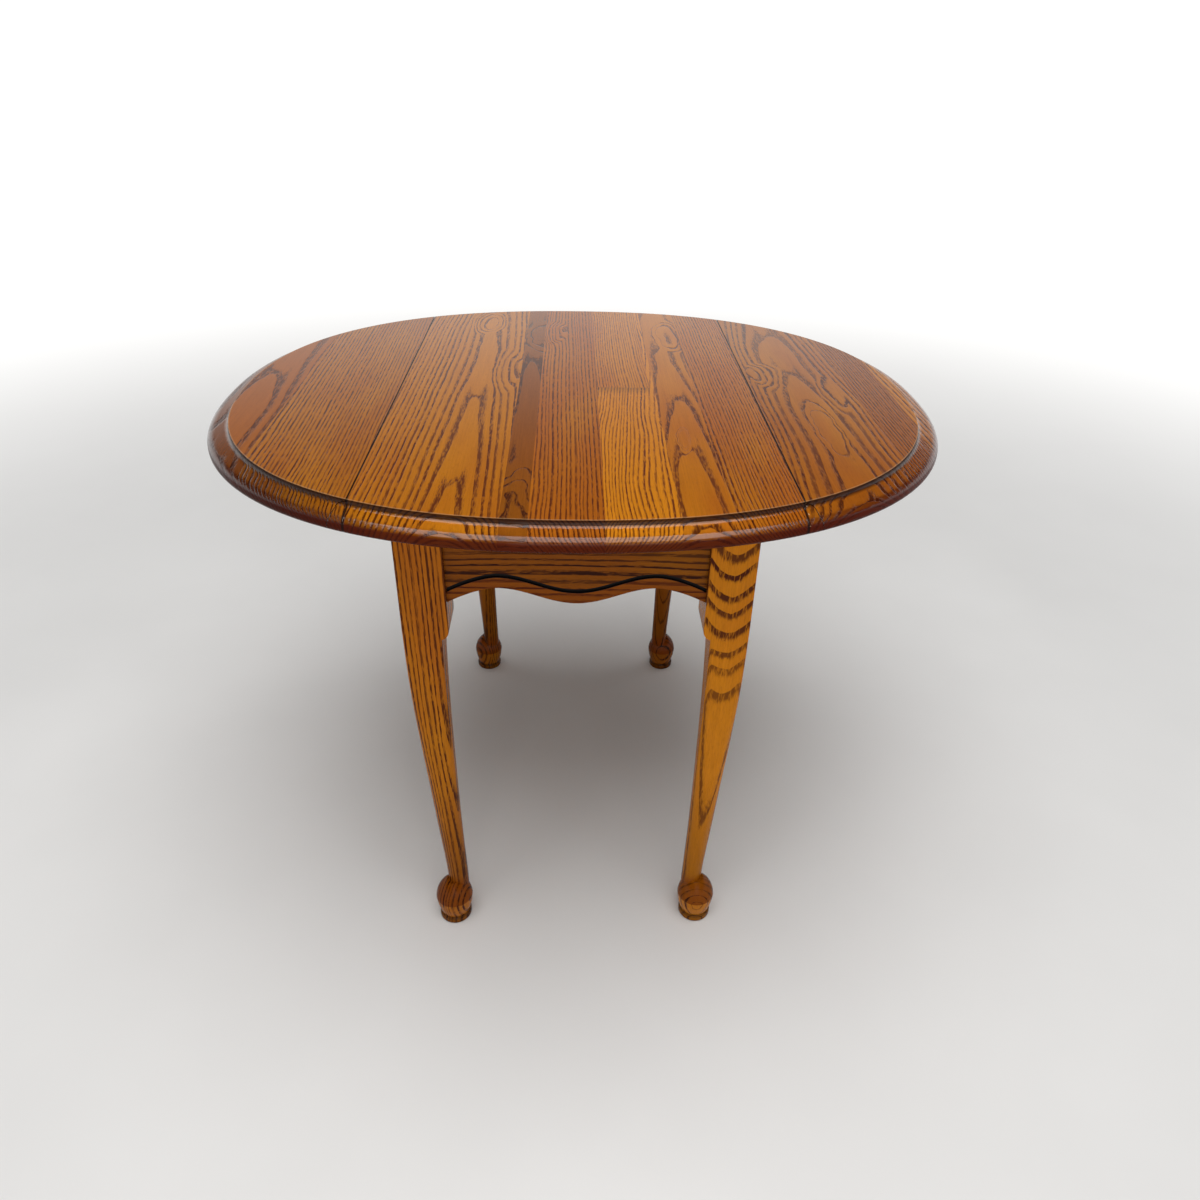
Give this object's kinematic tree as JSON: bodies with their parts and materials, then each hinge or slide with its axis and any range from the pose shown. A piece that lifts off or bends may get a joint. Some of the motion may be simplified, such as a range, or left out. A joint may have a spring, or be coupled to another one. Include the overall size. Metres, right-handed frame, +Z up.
{
  "type": "drop leaf table",
  "caption": "Oval drop leaf end table: rule-jointed leaves on folding stays, moulded edge, shaped aprons with a dark routed line, slim tapered legs on pad feet.",
  "frame": {"origin": "on the floor under the middle of the open top", "axes": "+X to the right across the leaves, -Y towards the front (the view in the picture), +Z up; leaves open"},
  "size_m": [0.7768, 0.6912, 0.5715],
  "materials": {
    "top_wood": "stained open-grain wood under gloss lacquer",
    "leg_wood": "stained open-grain wood under gloss lacquer",
    "apron_wood": "stained open-grain wood under gloss lacquer, routed line painted black",
    "block_wood": "bare planed wood",
    "hinge_steel": "brass-toned plated steel",
    "stay_steel": "zinc-plated steel",
    "fastener_steel": "zinc-plated steel"
  },
  "bodies": {
    "table": {"top_center_panel": "top_wood", "leg_front_left": "leg_wood", "leg_front_right": "leg_wood", "leg_rear_left": "leg_wood", "leg_rear_right": "leg_wood", "apron_front": "apron_wood", "apron_rear": "apron_wood", "apron_left": "apron_wood", "apron_right": "apron_wood", "corner_block_front_left": "block_wood", "corner_block_front_right": "block_wood", "corner_block_rear_left": "block_wood", "corner_block_rear_right": "block_wood", "hanger_bolts": "fastener_steel", "hanger_bolt_washers": "fastener_steel", "hanger_bolt_nuts": "fastener_steel", "corner_block_screws": "fastener_steel", "top_buttons": "block_wood", "top_button_screws": "fastener_steel", "hinge_fixed_plates_right": "hinge_steel", "hinge_fixed_plates_left": "hinge_steel", "hinge_pins_right": "hinge_steel", "hinge_pins_left": "hinge_steel", "hinge_fixed_screws_right": "fastener_steel", "hinge_fixed_screws_left": "fastener_steel", "stay_apron_bracket_right": "stay_steel", "stay_apron_bracket_left": "stay_steel", "stay_apron_screws_right": "fastener_steel", "stay_apron_screws_left": "fastener_steel", "stay_apron_rivet_right": "stay_steel", "stay_apron_rivet_left": "stay_steel"},
    "leaf_right": {"leaf_right": "top_wood", "hinge_leaf_plates_right": "hinge_steel", "hinge_leaf_screws_right": "fastener_steel", "stay_leaf_bracket_right": "stay_steel", "stay_leaf_screws_right": "fastener_steel", "stay_leaf_rivet_right": "stay_steel"},
    "stay_lower_right": {"stay_lower_arm_right": "stay_steel", "stay_knuckle_lower_right": "stay_steel"},
    "stay_upper_right": {"stay_upper_arm_right": "stay_steel", "stay_knuckle_upper_right": "stay_steel"},
    "leaf_left": {"leaf_left": "top_wood", "hinge_leaf_plates_left": "hinge_steel", "hinge_leaf_screws_left": "fastener_steel", "stay_leaf_bracket_left": "stay_steel", "stay_leaf_screws_left": "fastener_steel", "stay_leaf_rivet_left": "stay_steel"},
    "stay_lower_left": {"stay_lower_arm_left": "stay_steel", "stay_knuckle_lower_left": "stay_steel"},
    "stay_upper_left": {"stay_upper_arm_left": "stay_steel", "stay_knuckle_upper_left": "stay_steel"}
  },
  "joints": [
    {"name": "leaf_right_hinge", "type": "hinge", "parent": "table", "child": "leaf_right", "pos_m": [0.196, 0, 0.554], "axis": [0, 1, 0], "range_deg": [0, 90]},
    {"name": "leaf_left_hinge", "type": "hinge", "parent": "table", "child": "leaf_left", "pos_m": [-0.196, 0, 0.554], "axis": [0, -1, 0], "range_deg": [0, 90]},
    {"name": "stay_lower_right_pivot", "type": "hinge", "parent": "table", "child": "stay_lower_right", "pos_m": [0.168, 0, 0.482], "axis": [0, 1, 0], "range_deg": [-51.7, 0]},
    {"name": "stay_upper_right_pivot", "type": "hinge", "parent": "leaf_right", "child": "stay_upper_right", "pos_m": [0.268, 0, 0.5415], "axis": [0, 1, 0], "range_deg": [0, 23.2]},
    {"name": "stay_lower_left_pivot", "type": "hinge", "parent": "table", "child": "stay_lower_left", "pos_m": [-0.168, 0, 0.482], "axis": [0, -1, 0], "range_deg": [-51.7, 0]},
    {"name": "stay_upper_left_pivot", "type": "hinge", "parent": "leaf_left", "child": "stay_upper_left", "pos_m": [-0.268, 0, 0.5415], "axis": [0, -1, 0], "range_deg": [0, 23.2]}
  ],
  "couplings": [
    {"joint": "stay_lower_right_pivot", "follows": "leaf_right_hinge", "ratio": -0.57325},
    {"joint": "stay_upper_right_pivot", "follows": "leaf_right_hinge", "ratio": 0.25664},
    {"joint": "stay_lower_left_pivot", "follows": "leaf_left_hinge", "ratio": -0.57325},
    {"joint": "stay_upper_left_pivot", "follows": "leaf_left_hinge", "ratio": 0.25664}
  ]
}
